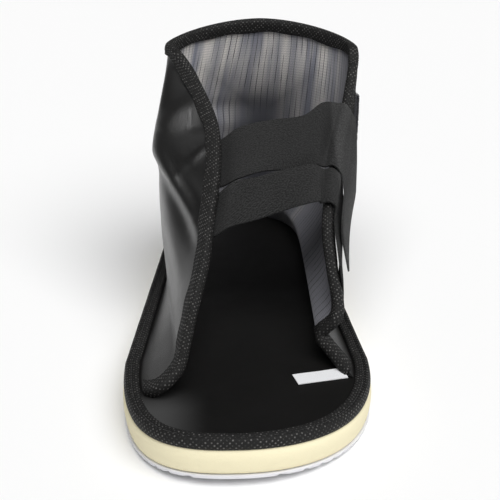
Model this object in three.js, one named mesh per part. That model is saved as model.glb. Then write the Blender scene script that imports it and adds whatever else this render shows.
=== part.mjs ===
// Open-toed cast shoe for the left foot: a flat foam sole, a bound footbed, and a soft one-piece
// upper that is open along the whole instep and closed by two elastic straps.
// Millimetres, +Z up, toe towards -Y, the wearer's inner side towards -X.
import * as THREE from 'three';

// Driving dimensions
const SOLE_LENGTH = 290;
const BALL_WIDTH = 115;
const HEEL_WIDTH = 90;
const OUTSOLE_BASE = 0.8;
const LUG_DEPTH = 0.8;
const LUG_PITCH = 4.8;
const LUG_GROOVE = 1.6;
const LUG_WALL_LEAN = 0.4;
const MIDSOLE_THICKNESS = 11.2;
const MIDSOLE_SIDE_BULGE = 1.2;
const FOOTBED_THICKNESS = 3;
const TOE_SPRING = 4;
const HEEL_BEVEL = 1.2;
const UPPER_HEIGHT = 124;
const UPPER_WALL = 1.8;
const LEFT_FRONT_BOW = 7;
const TAPE_THICKNESS = 1.1;
const TAPE_WIDTH = 7;
const TAPE_EASE = 0.36;
const EDGE_EASE = 0.8;
const SEAM_TAPE_WIDTH = 7;
const SEAM_ROLL_RISE = 0.7;
const STRAP_THICKNESS = 1.5;
const FLAP_LIFT = 1.6;
const PAD_THICKNESS = 1.8;
const LABEL_LENGTH = 19;
const LABEL_WIDTH = 9.5;
const LABEL_THICKNESS = 0.5;
const CLEARANCE = 0.3;

// Outline of the sole: a skewed round toe, straight tapering sides and a round heel.
const TOE_ARC = SOLE_LENGTH * 0.276;
const HEEL_ARC = SOLE_LENGTH * 0.2;
const BALL_SHIFT = -BALL_WIDTH * 0.006;
const TOE_SKEW = BALL_WIDTH * 0.07;
const TOE_SKEW_POWER = 2.4;
const TOE_ROUNDNESS = 2.3;
const HEEL_ROUNDNESS = 2.25;
const TOE_Y = -SOLE_LENGTH / 2;
const HEEL_Y = SOLE_LENGTH / 2;
const BALL_Y = TOE_Y + TOE_ARC;
const HEEL_ARC_Y = HEEL_Y - HEEL_ARC;
const SPRING_START_Y = BALL_Y - TOE_ARC * 0.42;
const BEVEL_START_Y = HEEL_Y - HEEL_ARC * 0.35;

// Heights of the layers, each a clearance above the last.
const MIDSOLE_Z = OUTSOLE_BASE + LUG_DEPTH + CLEARANCE;
const FOOTBED_Z = MIDSOLE_Z + MIDSOLE_THICKNESS + CLEARANCE;
const FOOTBED_TOP = FOOTBED_Z + FOOTBED_THICKNESS;
const UPPER_BASE = FOOTBED_TOP + CLEARANCE;
const SEAM_INSET = SEAM_TAPE_WIDTH + CLEARANCE * 3;

// Side of the midsole from its bottom edge up. pull is a share of the bulge, height of the thickness.
const MIDSOLE_PROFILE = [
  { pull: 0.7, height: 0 },
  { pull: 0, height: 0.2 },
  { pull: -0.4, height: 0.6 },
  { pull: 0.4, height: 1 },
];

// Outer face of the tape round the footbed, over its roll and stitched groove to its inner edge.
// inset is a share of the tape's width, height of its own height, and roll of the roll's rise.
const SEAM_TAPE_PROFILE = [
  { inset: 0.043, height: 0, roll: 0 },
  { inset: 0, height: 0.45, roll: 0 },
  { inset: 0.071, height: 0.85, roll: 0 },
  { inset: 0.26, height: 1, roll: 1 },
  { inset: 0.5, height: 1, roll: -0.4 },
  { inset: 0.74, height: 1, roll: 0 },
  { inset: 1, height: 1, roll: -0.4 },
];

// Sections of the upper from its seam to the collar. level is the share of the local wall height.
// x values are shares of the ball width, y values of the sole length, both from the sole's centre.
const UPPER_SECTIONS = [
  { level: 0.10, leftFrontX: -0.278, leftFrontY: -0.316, leftX: -0.373, leftY: 0.214, leftBelly: -0.010,
    rightFrontX: 0.298, rightFrontY: -0.212, rightX: 0.303, rightY: 0.214, rightBelly: 0.004,
    backY: 0.478, roundness: 2.3 },
  { level: 0.20, leftFrontX: -0.232, leftFrontY: -0.203, leftX: -0.390, leftY: 0.214, leftBelly: 0.004,
    rightFrontX: 0.377, rightFrontY: -0.209, rightX: 0.377, rightY: 0.214, rightBelly: -0.012,
    backY: 0.483, roundness: 2.3 },
  { level: 0.32, leftFrontX: -0.183, leftFrontY: -0.117, leftX: -0.395, leftY: 0.214, leftBelly: 0.022,
    rightFrontX: 0.367, rightFrontY: -0.141, rightX: 0.438, rightY: 0.214, rightBelly: 0.006,
    backY: 0.486, roundness: 2.2 },
  { level: 0.45, leftFrontX: -0.154, leftFrontY: -0.030, leftX: -0.399, leftY: 0.214, leftBelly: 0.030,
    rightFrontX: 0.359, rightFrontY: -0.067, rightX: 0.488, rightY: 0.214, rightBelly: 0.010,
    backY: 0.489, roundness: 2.2 },
  { level: 0.60, leftFrontX: -0.120, leftFrontY: 0.065, leftX: -0.418, leftY: 0.217, leftBelly: 0.045,
    rightFrontX: 0.397, rightFrontY: 0.031, rightX: 0.524, rightY: 0.217, rightBelly: 0.012,
    backY: 0.491, roundness: 2.1 },
  { level: 0.75, leftFrontX: -0.127, leftFrontY: 0.164, leftX: -0.393, leftY: 0.262, leftBelly: 0.040,
    rightFrontX: 0.478, rightFrontY: 0.173, rightX: 0.546, rightY: 0.248, rightBelly: 0.006,
    backY: 0.491, roundness: 2.0 },
  { level: 0.90, leftFrontX: -0.222, leftFrontY: 0.271, leftX: -0.362, leftY: 0.335, leftBelly: 0.006,
    rightFrontX: 0.534, rightFrontY: 0.254, rightX: 0.566, rightY: 0.315, rightBelly: 0.003,
    backY: 0.487, roundness: 1.9 },
  { level: 1.00, leftFrontX: -0.316, leftFrontY: 0.320, leftX: -0.350, leftY: 0.368, leftBelly: 0.008,
    rightFrontX: 0.563, rightFrontY: 0.293, rightX: 0.575, rightY: 0.350, rightBelly: 0.001,
    backY: 0.483, roundness: 1.8 },
];
const KNEE_LEVEL = UPPER_SECTIONS[0].level;

// Height of the collar round its rim, as shares of the upper's height.
const RIM = [
  { along: 0.0, height: 0.915 },
  { along: 0.3, height: 0.928 },
  { along: 0.5, height: 0.985 },
  { along: 0.7, height: 0.920 },
  { along: 1.0, height: 0.865 },
];

// Where the upper's seam starts on each side of the foot, as shares of the sole length.
const LEFT_SEAM_FRONT = -0.320;
const RIGHT_SEAM_FRONT = -0.285;
const SIDE_SHARE = 0.3;

// Handles of the side's curve between its front end and its widest place, as shares of the way.
const FRONT_HANDLE = 0.33;
const WIDEST_HANDLE = 0.6;
const WIDEST_BELLY = 0.4;

// Grid of the upper. Rows are shares of the height below the knee, then closer towards the collar.
const COLUMNS_ROUND = 50;
const ROWS_BELOW_KNEE = [0, 0.3, 0.65, 1];
const ROWS_UP = 13;
const ROW_POWER = 0.85;

// Strap rows, from the left inner end to the right outer end, each with the strap's low and high edge.
// Rows on the upper's inner or outer face and round its front edge give along and level on the upper.
// Free rows, between the edges and where the lower strap is sewn down, give x, y and z as shares of
// ball width, sole length and upper height.
const UPPER_STRAP = [
  { on: 'inner', lowAlong: 0.15, lowLevel: 0.52, highAlong: 0.17, highLevel: 0.69 },
  { on: 'inner', lowAlong: 0.075, lowLevel: 0.54, highAlong: 0.09, highLevel: 0.70 },
  { on: 'inner', lowAlong: 0.004, lowLevel: 0.56, highAlong: 0.004, highLevel: 0.71 },
  { on: 'free', lowX: -0.022, lowY: 0.028, lowZ: 0.545, highX: -0.009, highY: 0.131, highZ: 0.685 },
  { on: 'free', lowX: 0.086, lowY: 0.028, lowZ: 0.567, highX: 0.132, highY: 0.131, highZ: 0.715 },
  { on: 'free', lowX: 0.215, lowY: 0.031, lowZ: 0.582, highX: 0.281, highY: 0.131, highZ: 0.734 },
  { on: 'free', lowX: 0.316, lowY: 0.052, lowZ: 0.587, highX: 0.372, highY: 0.162, highZ: 0.770 },
  { on: 'edge', turn: -0.5, lowLevel: 0.642, highLevel: 0.825 },
  { on: 'edge', turn: 0.4, lowLevel: 0.640, highLevel: 0.817 },
  { on: 'edge', turn: 1.3, lowLevel: 0.634, highLevel: 0.800 },
  { on: 'outer', lowAlong: 0.970, lowLevel: 0.575, highAlong: 0.935, highLevel: 0.755 },
  { on: 'outer', lowAlong: 0.945, lowLevel: 0.430, highAlong: 0.875, highLevel: 0.625 },
  { on: 'outer', lowAlong: 0.872, lowLevel: 0.295, highAlong: 0.818, highLevel: 0.475 },
];
const LOWER_STRAP = [
  { on: 'inner', lowAlong: 0.14, lowLevel: 0.33, highAlong: 0.14, highLevel: 0.44 },
  { on: 'inner', lowAlong: 0.07, lowLevel: 0.37, highAlong: 0.075, highLevel: 0.485 },
  { on: 'inner', lowAlong: 0.004, lowLevel: 0.41, highAlong: 0.004, highLevel: 0.525 },
  { on: 'free', lowX: -0.070, lowY: -0.055, lowZ: 0.394, highX: -0.044, highY: 0.017, highZ: 0.510 },
  { on: 'free', lowX: 0.055, lowY: -0.055, lowZ: 0.429, highX: 0.061, highY: 0.017, highZ: 0.544 },
  { on: 'free', lowX: 0.225, lowY: -0.048, lowZ: 0.476, highX: 0.191, highY: 0.017, highZ: 0.583 },
  { on: 'free', lowX: 0.325, lowY: -0.034, lowZ: 0.484, highX: 0.316, highY: 0.034, highZ: 0.588 },
  { on: 'edge', turn: -0.5, lowLevel: 0.520, highLevel: 0.620 },
  { on: 'edge', turn: 0.4, lowLevel: 0.520, highLevel: 0.618 },
  { on: 'edge', turn: 1.3, lowLevel: 0.515, highLevel: 0.612 },
  { on: 'outer', lowAlong: 0.985, lowLevel: 0.470, highAlong: 0.950, highLevel: 0.575 },
  { on: 'outer', lowAlong: 0.975, lowLevel: 0.290, highAlong: 0.900, highLevel: 0.360 },
  { on: 'free', lowX: 0.437, lowY: -0.070, lowZ: 0.035, highX: 0.433, highY: 0.020, highZ: 0.035 },
];
const STRAP_STEPS = 2;
const PAD_STEPS = 6;
const PAD_PATCH = { alongFrom: 0.67, alongTo: 0.775, levelFrom: 0.50, levelTo: 0.81 };
const LABEL_PLACE = { x: 0.262, y: -0.283, turn: 0.24 };

// One closed solid from triangles: nearby corners are merged and flat triangles dropped.
function solidOf(triangles) {
  const MERGE = 500;
  const places = [];
  const index = new Map();
  const faces = [];
  const cornerOf = (point) => {
    const key = [point.x, point.y, point.z].map((value) => Math.round(value * MERGE)).join(',');
    if (!index.has(key)) {
      index.set(key, places.length / 3);
      places.push(point.x, point.y, point.z);
    }
    return index.get(key);
  };
  for (const triangle of triangles) {
    const [a, b, c] = triangle.map(cornerOf);
    if (a !== b && b !== c && c !== a) faces.push(a, b, c);
  }
  const geometry = new THREE.BufferGeometry();
  geometry.setAttribute('position', new THREE.Float32BufferAttribute(places, 3));
  geometry.setIndex(faces);
  geometry.computeVertexNormals();
  return geometry;
}

function pushQuad(triangles, a, b, c, d) {
  triangles.push([a, b, c], [a, c, d]);
}

// Skin between rings of equal length. Each ring is closed when wrapRing is true.
function pushRings(triangles, rings, wrapRings) {
  const count = rings[0].length;
  const last = wrapRings ? rings.length : rings.length - 1;
  for (let i = 0; i < last; i += 1) {
    const ring = rings[i];
    const next = rings[(i + 1) % rings.length];
    for (let k = 0; k < count; k += 1) {
      const n = (k + 1) % count;
      pushQuad(triangles, ring[k], ring[n], next[n], next[k]);
    }
  }
}

// Cap of a ring whose first half runs beside its second half, like a flattened loop.
function pushCap(triangles, ring, flip) {
  const count = ring.length;
  for (let k = 0; k < count / 2 - 1; k += 1) {
    const quad = [ring[k], ring[k + 1], ring[count - 2 - k], ring[count - 1 - k]];
    if (flip) quad.reverse();
    pushQuad(triangles, ...quad);
  }
}

// A solid from open rings, capped at both ends, with its faces turned outwards.
function solidOfRings(rings) {
  const triangles = [];
  pushRings(triangles, rings, false);
  pushCap(triangles, rings[0], true);
  pushCap(triangles, rings[rings.length - 1], false);
  return outward(triangles);
}

function solidOfLoop(rings) {
  const triangles = [];
  pushRings(triangles, rings, true);
  return outward(triangles);
}

function outward(triangles) {
  const cross = new THREE.Vector3();
  let volume = 0;
  for (const [a, b, c] of triangles) volume += cross.crossVectors(b, c).dot(a);
  if (volume < 0) triangles.forEach((triangle) => triangle.reverse());
  return solidOf(triangles);
}

const point = (x, y, z) => new THREE.Vector3(x, y, z);
const mix = (a, b, t) => a + (b - a) * t;

// Quarter of a superellipse: 0 at the end of its long axis, 1 at the widest place.
const roundShare = (share, power) => (1 - Math.min(1, share) ** power) ** (1 / power);

// Centre and half width of the sole's outline at y, pulled in by inset.
function outlineAt(y, inset) {
  const half = BALL_WIDTH / 2 - inset;
  const heelHalf = HEEL_WIDTH / 2 - inset;
  if (y < BALL_Y) {
    const reach = (BALL_Y - y) / (TOE_ARC - inset);
    const width = half * roundShare(reach, TOE_ROUNDNESS);
    return { centre: BALL_SHIFT - TOE_SKEW * Math.min(1, reach) ** TOE_SKEW_POWER, width };
  }
  if (y > HEEL_ARC_Y) {
    const reach = (y - HEEL_ARC_Y) / (HEEL_ARC - inset);
    return { centre: 0, width: heelHalf * roundShare(reach, HEEL_ROUNDNESS) };
  }
  const taper = (y - BALL_Y) / (HEEL_ARC_Y - BALL_Y);
  return { centre: mix(BALL_SHIFT, 0, taper), width: mix(half, heelHalf, taper) };
}

// Lift of the sole at the toe. It follows the unpulled y, so that layers stay parallel.
function springAt(y) {
  const reach = Math.max(0, SPRING_START_Y - y) / (SPRING_START_Y - TOE_Y);
  return TOE_SPRING * reach * reach;
}

function bevelAt(y) {
  const reach = Math.max(0, y - BEVEL_START_Y) / (HEEL_Y - BEVEL_START_Y);
  return HEEL_BEVEL * reach * reach;
}

// Stations along the sole, dense where the outline turns.
const TOE_STEPS = 12;
const SIDE_STEPS = 9;
const HEEL_STEPS = 10;
function stations() {
  const list = [];
  for (let i = 0; i < TOE_STEPS; i += 1) {
    const turn = (Math.PI / 2) * (1 - i / TOE_STEPS);
    list.push({ part: 'toe', share: Math.sin(turn) });
  }
  for (let i = 0; i < SIDE_STEPS; i += 1) list.push({ part: 'side', share: i / SIDE_STEPS });
  for (let i = 0; i <= HEEL_STEPS; i += 1) {
    list.push({ part: 'heel', share: Math.sin((Math.PI / 2) * (i / HEEL_STEPS)) });
  }
  return list;
}

function stationY(station, inset) {
  if (station.part === 'toe') return BALL_Y - (TOE_ARC - inset) * station.share;
  if (station.part === 'side') return mix(BALL_Y, HEEL_ARC_Y, station.share);
  return HEEL_ARC_Y + (HEEL_ARC - inset) * station.share;
}

// A layer of the sole. The profile lists { inset, z } from the bottom edge up to the top edge.
function soleLayer(profile) {
  const rings = stations().map((station) => {
    const left = [];
    const right = [];
    for (const { inset, z } of profile) {
      const y = stationY(station, inset);
      const { centre, width } = outlineAt(y, inset);
      const height = z + springAt(stationY(station, 0));
      left.push(point(centre - width, y, height));
      right.push(point(centre + width, y, height));
    }
    return [...left, ...right.reverse()];
  });
  return solidOfRings(rings);
}

// Rings on the plain ends of the tread, as shares of the way to the first bar or to the heel.
const TOE_END_SHARES = [0, 0.12, 0.35];
const HEEL_END_SHARES = [0.55, 0.82, 0.95, 1];

// The tread: straight bars across the sole, with grooves open at both sides.
function outsole() {
  const rings = [];
  const addRing = (y, cut) => {
    const { centre, width } = outlineAt(y, 0);
    const low = springAt(y) + Math.max(cut, bevelAt(y));
    const high = springAt(y) + OUTSOLE_BASE + LUG_DEPTH;
    rings.push([
      point(centre - width, y, low),
      point(centre - width, y, high),
      point(centre + width, y, high),
      point(centre + width, y, low),
    ]);
  };
  const firstLug = TOE_Y + LUG_PITCH / 2;
  for (const share of TOE_END_SHARES) addRing(TOE_Y + (firstLug - TOE_Y) * share, 0);
  const lugs = Math.floor((SOLE_LENGTH - LUG_PITCH) / LUG_PITCH);
  for (let i = 0; i < lugs; i += 1) {
    const start = firstLug + i * LUG_PITCH;
    addRing(start, 0);
    addRing(start + LUG_WALL_LEAN, LUG_DEPTH);
    addRing(start + LUG_GROOVE - LUG_WALL_LEAN, LUG_DEPTH);
    addRing(start + LUG_GROOVE, 0);
  }
  const rest = HEEL_Y - (firstLug + lugs * LUG_PITCH);
  for (const share of HEEL_END_SHARES) addRing(HEEL_Y - rest * (1 - share), 0);
  return solidOfRings(rings);
}

function midsole() {
  return soleLayer(MIDSOLE_PROFILE.map(({ pull, height }) => (
    { inset: MIDSOLE_SIDE_BULGE * pull, z: MIDSOLE_Z + MIDSOLE_THICKNESS * height })));
}

function footbed() {
  const inset = TAPE_THICKNESS + 2 * CLEARANCE;
  return soleLayer([
    { inset, z: FOOTBED_Z },
    { inset, z: FOOTBED_TOP },
  ]);
}

// Tape sewn round the footbed's edge: an outer roll, a stitched groove and a flat inner leg.
function footbedBinding() {
  const top = FOOTBED_TOP + CLEARANCE + TAPE_THICKNESS;
  const inner = TAPE_THICKNESS + CLEARANCE;
  const outerFace = SEAM_TAPE_PROFILE.map(({ inset, height, roll }) => (
    { inset: SEAM_TAPE_WIDTH * inset, z: mix(FOOTBED_Z, top, height) + SEAM_ROLL_RISE * roll }));
  const profile = [
    { inset: inner, z: FOOTBED_Z },
    ...outerFace,
    { inset: SEAM_TAPE_WIDTH, z: FOOTBED_TOP + CLEARANCE },
    { inset: inner, z: FOOTBED_TOP + CLEARANCE },
  ];
  const list = stations();
  const ringAt = (station, side) => profile.map(({ inset, z }) => {
    const y = stationY(station, inset);
    const { centre, width } = outlineAt(y, inset);
    return point(centre + side * width, y, z + springAt(stationY(station, 0)));
  });
  const rings = list.map((station) => ringAt(station, -1));
  for (const station of list.slice(1, -1).reverse()) rings.push(ringAt(station, 1));
  return solidOfLoop(rings);
}

// A column of the section table at a level, on a smooth curve through its rows.
function columnAt(name, level) {
  const rows = UPPER_SECTIONS;
  let k = 0;
  while (k < rows.length - 2 && level > rows[k + 1].level) k += 1;
  const t = (level - rows[k].level) / (rows[k + 1].level - rows[k].level);
  const at = (i) => rows[Math.min(rows.length - 1, Math.max(0, i))];
  const slope = (i) => {
    const a = at(i - 1);
    const b = at(i + 1);
    return (b[name] - a[name]) / (b.level - a.level);
  };
  const span = rows[k + 1].level - rows[k].level;
  const t2 = t * t;
  const t3 = t2 * t;
  return (2 * t3 - 3 * t2 + 1) * rows[k][name] + (t3 - 2 * t2 + t) * span * slope(k)
    + (3 * t2 - 2 * t3) * rows[k + 1][name] + (t3 - t2) * span * slope(k + 1);
}

function rimHeight(along) {
  let k = 0;
  while (k < RIM.length - 2 && along > RIM[k + 1].along) k += 1;
  const t = (along - RIM[k].along) / (RIM[k + 1].along - RIM[k].along);
  const smooth = (1 - Math.cos(Math.PI * t)) / 2;
  return UPPER_HEIGHT * mix(RIM[k].height, RIM[k + 1].height, smooth);
}

// Point of one side between its front end and its widest place, on a cubic curve.
function sideCurve(front, widest, belly, t) {
  const outwards = Math.sign(widest.x) * belly;
  const first = {
    x: mix(front.x, widest.x, FRONT_HANDLE) + outwards,
    y: mix(front.y, widest.y, FRONT_HANDLE),
  };
  const second = { x: widest.x + outwards * WIDEST_BELLY, y: mix(front.y, widest.y, WIDEST_HANDLE) };
  const s = 1 - t;
  const blend = (key) => s * s * s * front[key] + 3 * s * s * t * first[key]
    + 3 * s * t * t * second[key] + t * t * t * widest[key];
  return { x: blend('x'), y: blend('y') };
}

// Plan position of the upper's outer face. along runs from the left front edge round the heel.
function sectionAt(along, level) {
  const column = (name) => columnAt(name, Math.max(KNEE_LEVEL, level));
  const x = (name) => column(name) * BALL_WIDTH;
  const y = (name) => column(name) * SOLE_LENGTH;
  if (along < SIDE_SHARE) {
    return sideCurve({ x: x('leftFrontX'), y: y('leftFrontY') }, { x: x('leftX'), y: y('leftY') },
      x('leftBelly'), along / SIDE_SHARE);
  }
  if (along > 1 - SIDE_SHARE) {
    return sideCurve({ x: x('rightFrontX'), y: y('rightFrontY') }, { x: x('rightX'), y: y('rightY') },
      x('rightBelly'), (1 - along) / SIDE_SHARE);
  }
  const turn = Math.PI * (along - SIDE_SHARE) / (1 - 2 * SIDE_SHARE);
  const power = 2 / column('roundness');
  const swing = Math.cos(turn);
  const depth = Math.sin(turn) ** power;
  const centre = (x('leftX') + x('rightX')) / 2;
  const half = (x('rightX') - x('leftX')) / 2;
  const start = swing > 0 ? y('leftY') : y('rightY');
  const sideY = mix(start, (y('leftY') + y('rightY')) / 2, Math.sin(turn));
  return {
    x: centre - half * Math.sign(swing) * Math.abs(swing) ** power,
    y: mix(sideY, y('backY'), depth),
  };
}

// Plan position of the upper's seam, inside the tape round the footbed.
function seamAt(along) {
  const ends = { left: LEFT_SEAM_FRONT * SOLE_LENGTH, right: RIGHT_SEAM_FRONT * SOLE_LENGTH };
  if (along < SIDE_SHARE || along > 1 - SIDE_SHARE) {
    const left = along < SIDE_SHARE;
    const t = (left ? along : 1 - along) / SIDE_SHARE;
    const y = mix(left ? ends.left : ends.right, HEEL_ARC_Y, t);
    const { centre, width } = outlineAt(y, SEAM_INSET);
    return { x: centre + (left ? -width : width), y };
  }
  const turn = Math.PI * (along - SIDE_SHARE) / (1 - 2 * SIDE_SHARE);
  const power = 2 / HEEL_ROUNDNESS;
  const swing = Math.cos(turn);
  return {
    x: -(HEEL_WIDTH / 2 - SEAM_INSET) * Math.sign(swing) * Math.abs(swing) ** power,
    y: HEEL_ARC_Y + (HEEL_ARC - SEAM_INSET) * Math.sin(turn) ** power,
  };
}

// Outer face of the upper. Below the knee it runs straight from the seam, but bows towards the toe
// near the left front edge.
function wallPoint(along, level) {
  const plan = sectionAt(along, level);
  const z = UPPER_BASE + level * (rimHeight(along) - UPPER_BASE + FOOTBED_TOP);
  if (level >= KNEE_LEVEL) return point(plan.x, plan.y, z);
  const seam = seamAt(along);
  const t = level / KNEE_LEVEL;
  const nearFront = Math.max(0, 1 - along / SIDE_SHARE);
  const bow = LEFT_FRONT_BOW * 4 * t * (1 - t) * nearFront * nearFront;
  return point(mix(seam.x, plan.x, t), mix(seam.y, plan.y, t) - bow, z);
}

const PROBE = 0.012;
function wallNormal(along, level) {
  const a0 = Math.max(0, along - PROBE);
  const a1 = Math.min(1, along + PROBE);
  const l0 = Math.max(0, level - PROBE);
  const l1 = Math.min(1, level + PROBE);
  const across = wallPoint(a1, level).sub(wallPoint(a0, level));
  const up = wallPoint(along, l1).sub(wallPoint(along, l0));
  return up.cross(across).normalize();
}

// Point beside the upper: offset 0 is its outer face, positive is outwards.
function beside(along, level, offset) {
  return wallPoint(along, level).addScaledVector(wallNormal(along, level), offset);
}

const UPPER_LEVELS = ROWS_BELOW_KNEE.map((share) => share * KNEE_LEVEL);
for (let i = 1; i <= ROWS_UP; i += 1) UPPER_LEVELS.push(mix(KNEE_LEVEL, 1, (i / ROWS_UP) ** ROW_POWER));

function upper() {
  const outer = [];
  const inner = [];
  for (const level of UPPER_LEVELS) {
    const outerRow = [];
    const innerRow = [];
    for (let i = 0; i <= COLUMNS_ROUND; i += 1) {
      const along = i / COLUMNS_ROUND;
      const innerPoint = beside(along, level, -UPPER_WALL);
      innerPoint.z = Math.max(innerPoint.z, UPPER_BASE);
      if (level === 0) innerPoint.z = UPPER_BASE;
      outerRow.push(wallPoint(along, level));
      innerRow.push(innerPoint);
    }
    outer.push(outerRow);
    inner.push(innerRow);
  }
  const rings = outer.map((row, k) => [...row, ...inner[k].reverse()]);
  return solidOfRings(rings);
}

// Rim of the upper as a path: up the left front edge, round the collar, down the right front edge.
// Its stations are the upper's own rows and columns.
function edgePath() {
  const levels = UPPER_LEVELS.slice(1, -1);
  const path = levels.map((level) => [0, level]);
  for (let i = 0; i <= COLUMNS_ROUND; i += 1) path.push([i / COLUMNS_ROUND, 1]);
  for (const level of [...levels].reverse()) path.push([1, level]);
  return path;
}

// Direction of the front edge at a level, and the way out of the upper square to it.
function frontEdge(side, level) {
  const inwards = side === 0 ? PROBE * 2 : 1 - PROBE * 2;
  const low = Math.max(0, level - PROBE);
  const high = Math.min(1, level + PROBE);
  const edge = wallPoint(side, high).sub(wallPoint(side, low)).normalize();
  const row = wallPoint(side, level).sub(wallPoint(inwards, level));
  const rowLength = row.length() / (PROBE * 2);
  const away = row.clone().addScaledVector(edge, -row.dot(edge));
  const slant = away.length() / row.length();
  return { away: away.normalize(), squareLength: rowLength * slant };
}

// The place on the upper one tape width in from a rim place, square in from both edges at a corner.
// At a corner, where the rows crowd together, it stays within TAPE_REACH of the side.
const TAPE_REACH = 0.7;
function edgeInset(along, level) {
  const side = along < 0.5 ? 0 : 1;
  const step = PROBE * 2;
  const levelLength = wallPoint(along, 1).distanceTo(wallPoint(along, 1 - step)) / step;
  const inAlong = Math.min(SIDE_SHARE * TAPE_REACH, TAPE_WIDTH / frontEdge(side, level).squareLength);
  const inLevel = TAPE_WIDTH / levelLength;
  return [Math.min(1 - inAlong, Math.max(inAlong, along)), Math.min(level, 1 - inLevel)];
}

function rimAway(along, level) {
  const up = wallPoint(along, 1).sub(wallPoint(along, 1 - PROBE)).normalize();
  if (level < 1) return frontEdge(along, level).away;
  if (along > 0 && along < 1) return up;
  return up.add(frontEdge(along, 1).away).normalize();
}

// Where the tape turns over the rim, as a share of the wall from each face.
const TAPE_CORNER = 0.2;

function edgeBinding() {
  const gap = CLEARANCE + TAPE_EASE;
  const full = gap + TAPE_THICKNESS;
  const rings = edgePath().map(([along, level]) => {
    const [inAlong, inLevel] = edgeInset(along, level);
    const at = (share, offset) => beside(mix(along, inAlong, share), mix(level, inLevel, share), offset);
    const away = rimAway(along, level);
    const rim = (offset, out) => at(0, offset).addScaledVector(away, out);
    const outerPath = [
      at(1, full), at(0.5, full), rim(full, 0),
      rim(-UPPER_WALL * TAPE_CORNER, full), rim(-UPPER_WALL * (1 - TAPE_CORNER), full),
      rim(-UPPER_WALL - full, 0), at(0.5, -UPPER_WALL - full), at(1, -UPPER_WALL - full),
    ];
    const innerPath = [
      at(1, gap), at(0.5, gap), rim(gap, 0), rim(gap, gap), rim(-UPPER_WALL - gap, gap),
      rim(-UPPER_WALL - gap, 0), at(0.5, -UPPER_WALL - gap), at(1, -UPPER_WALL - gap),
    ];
    return [...outerPath, ...innerPath.reverse()];
  });
  return solidOfRings(rings);
}

// Layers beside the upper: the tape, then the lower strap or the pad, then the upper strap.
const OVER_TAPE = CLEARANCE * 2 + TAPE_EASE * 2 + TAPE_THICKNESS;
const OVER_STRAP = OVER_TAPE + STRAP_THICKNESS + CLEARANCE + FLAP_LIFT;

// Place of a strap row at share 0 on its low edge up to 1 on its high edge.
function strapPlace(row, share, outerGap) {
  const half = STRAP_THICKNESS / 2;
  if (row.on === 'free') {
    return point(mix(row.lowX, row.highX, share) * BALL_WIDTH, mix(row.lowY, row.highY, share) * SOLE_LENGTH,
      UPPER_BASE + mix(row.lowZ, row.highZ, share) * UPPER_HEIGHT);
  }
  const level = mix(row.lowLevel, row.highLevel, share);
  if (row.on === 'edge') {
    const { away } = frontEdge(1, level);
    const reach = UPPER_WALL / 2 + OVER_TAPE + EDGE_EASE + half;
    return beside(1, level, -UPPER_WALL / 2)
      .addScaledVector(away, Math.cos(row.turn) * reach)
      .addScaledVector(wallNormal(1, level), Math.sin(row.turn) * reach);
  }
  const along = mix(row.lowAlong, row.highAlong, share);
  if (row.on === 'inner') return beside(along, level, -UPPER_WALL - OVER_TAPE - half);
  return beside(along, level, outerGap + half);
}

// A ribbon through the rows, bent smoothly along its run and given its thickness.
function strap(rows, outerGap) {
  const lanes = [0, 0.5, 1].map((share) => new THREE.CatmullRomCurve3(
    rows.map((row) => strapPlace(row, share, outerGap)), false, 'centripetal'));
  const count = (rows.length - 1) * STRAP_STEPS;
  const rings = [];
  for (let i = 0; i <= count; i += 1) {
    const t = i / count;
    const places = lanes.map((lane) => lane.getPoint(t));
    const run = lanes[1].getTangent(t);
    const face = places[2].clone().sub(places[0]).cross(run).normalize().multiplyScalar(STRAP_THICKNESS / 2);
    const over = places.map((place) => place.clone().add(face));
    const under = places.map((place) => place.clone().sub(face));
    rings.push([...over, ...under.reverse()]);
  }
  return solidOfRings(rings);
}

function loopPad() {
  const rings = [];
  for (let i = 0; i <= PAD_STEPS; i += 1) {
    const along = mix(PAD_PATCH.alongFrom, PAD_PATCH.alongTo, i / PAD_STEPS);
    const outerSide = [];
    const innerSide = [];
    for (let k = 0; k <= PAD_STEPS; k += 1) {
      const level = mix(PAD_PATCH.levelFrom, PAD_PATCH.levelTo, k / PAD_STEPS);
      outerSide.push(beside(along, level, CLEARANCE + TAPE_EASE + PAD_THICKNESS));
      innerSide.push(beside(along, level, CLEARANCE + TAPE_EASE));
    }
    rings.push([...outerSide, ...innerSide.reverse()]);
  }
  return solidOfRings(rings);
}

function label() {
  return new THREE.BoxGeometry(LABEL_LENGTH, LABEL_WIDTH, LABEL_THICKNESS);
}

function material(color, roughness) {
  return new THREE.MeshStandardMaterial({ color, roughness, metalness: 0 });
}

const tape = material(0x232221, 0.85);
const webbing = material(0x3a3a3c, 0.9);
const pieces = [
  { name: 'outsole', geometry: outsole(), material: material(0xe8e8ec, 0.7) },
  { name: 'midsole', geometry: midsole(), material: material(0xf0e8c6, 0.75) },
  { name: 'footbed', geometry: footbed(), material: material(0x151413, 0.6) },
  { name: 'footbed_binding', geometry: footbedBinding(), material: tape },
  { name: 'upper', geometry: upper(), material: material(0x3c3c3e, 0.55) },
  { name: 'edge_binding', geometry: edgeBinding(), material: tape },
  { name: 'strap_lower', geometry: strap(LOWER_STRAP, OVER_TAPE), material: webbing },
  { name: 'strap_upper', geometry: strap(UPPER_STRAP, OVER_STRAP), material: webbing },
  { name: 'loop_pad', geometry: loopPad(), material: material(0x2b2b2e, 0.95) },
  { name: 'label', geometry: label(), material: material(0xf2f2f2, 0.6) },
];

const group = new THREE.Group();
for (const piece of pieces) {
  const mesh = new THREE.Mesh(piece.geometry, piece.material);
  mesh.name = piece.name;
  group.add(mesh);
}

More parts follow.
